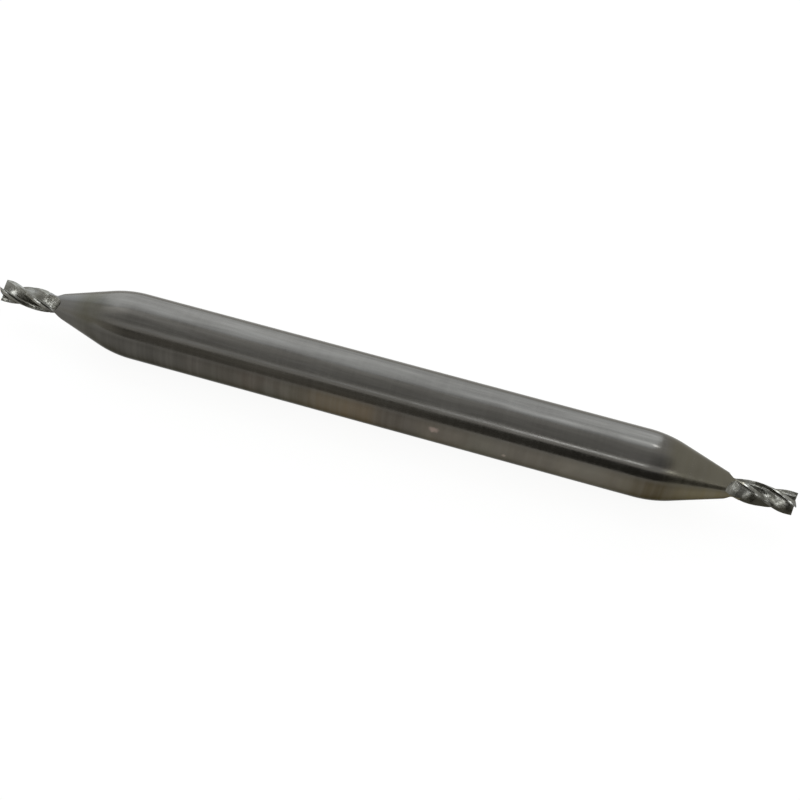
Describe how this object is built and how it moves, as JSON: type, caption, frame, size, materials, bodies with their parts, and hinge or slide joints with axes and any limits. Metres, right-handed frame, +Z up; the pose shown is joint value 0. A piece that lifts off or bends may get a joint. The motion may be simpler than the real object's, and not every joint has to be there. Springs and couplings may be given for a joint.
{
  "type": "square end mill",
  "caption": "Double-end square end mill: a plain cylindrical shank that narrows through a cone at each end to a small right-hand helical cutter with a flat end.",
  "frame": {"origin": "On the tool's axis, at the middle of its shank, which is also the middle of its bounding box.", "axes": "+X runs along the tool's axis towards the cutter at the right of the picture, +Z is up with the tool lying level, and +Y points away from the viewer."},
  "size_m": [0.0572, 0.0048, 0.0048],
  "materials": {
    "tool_steel": "ground"
  },
  "bodies": {
    "root": {"end_mill": "tool_steel"}
  },
  "joints": []
}
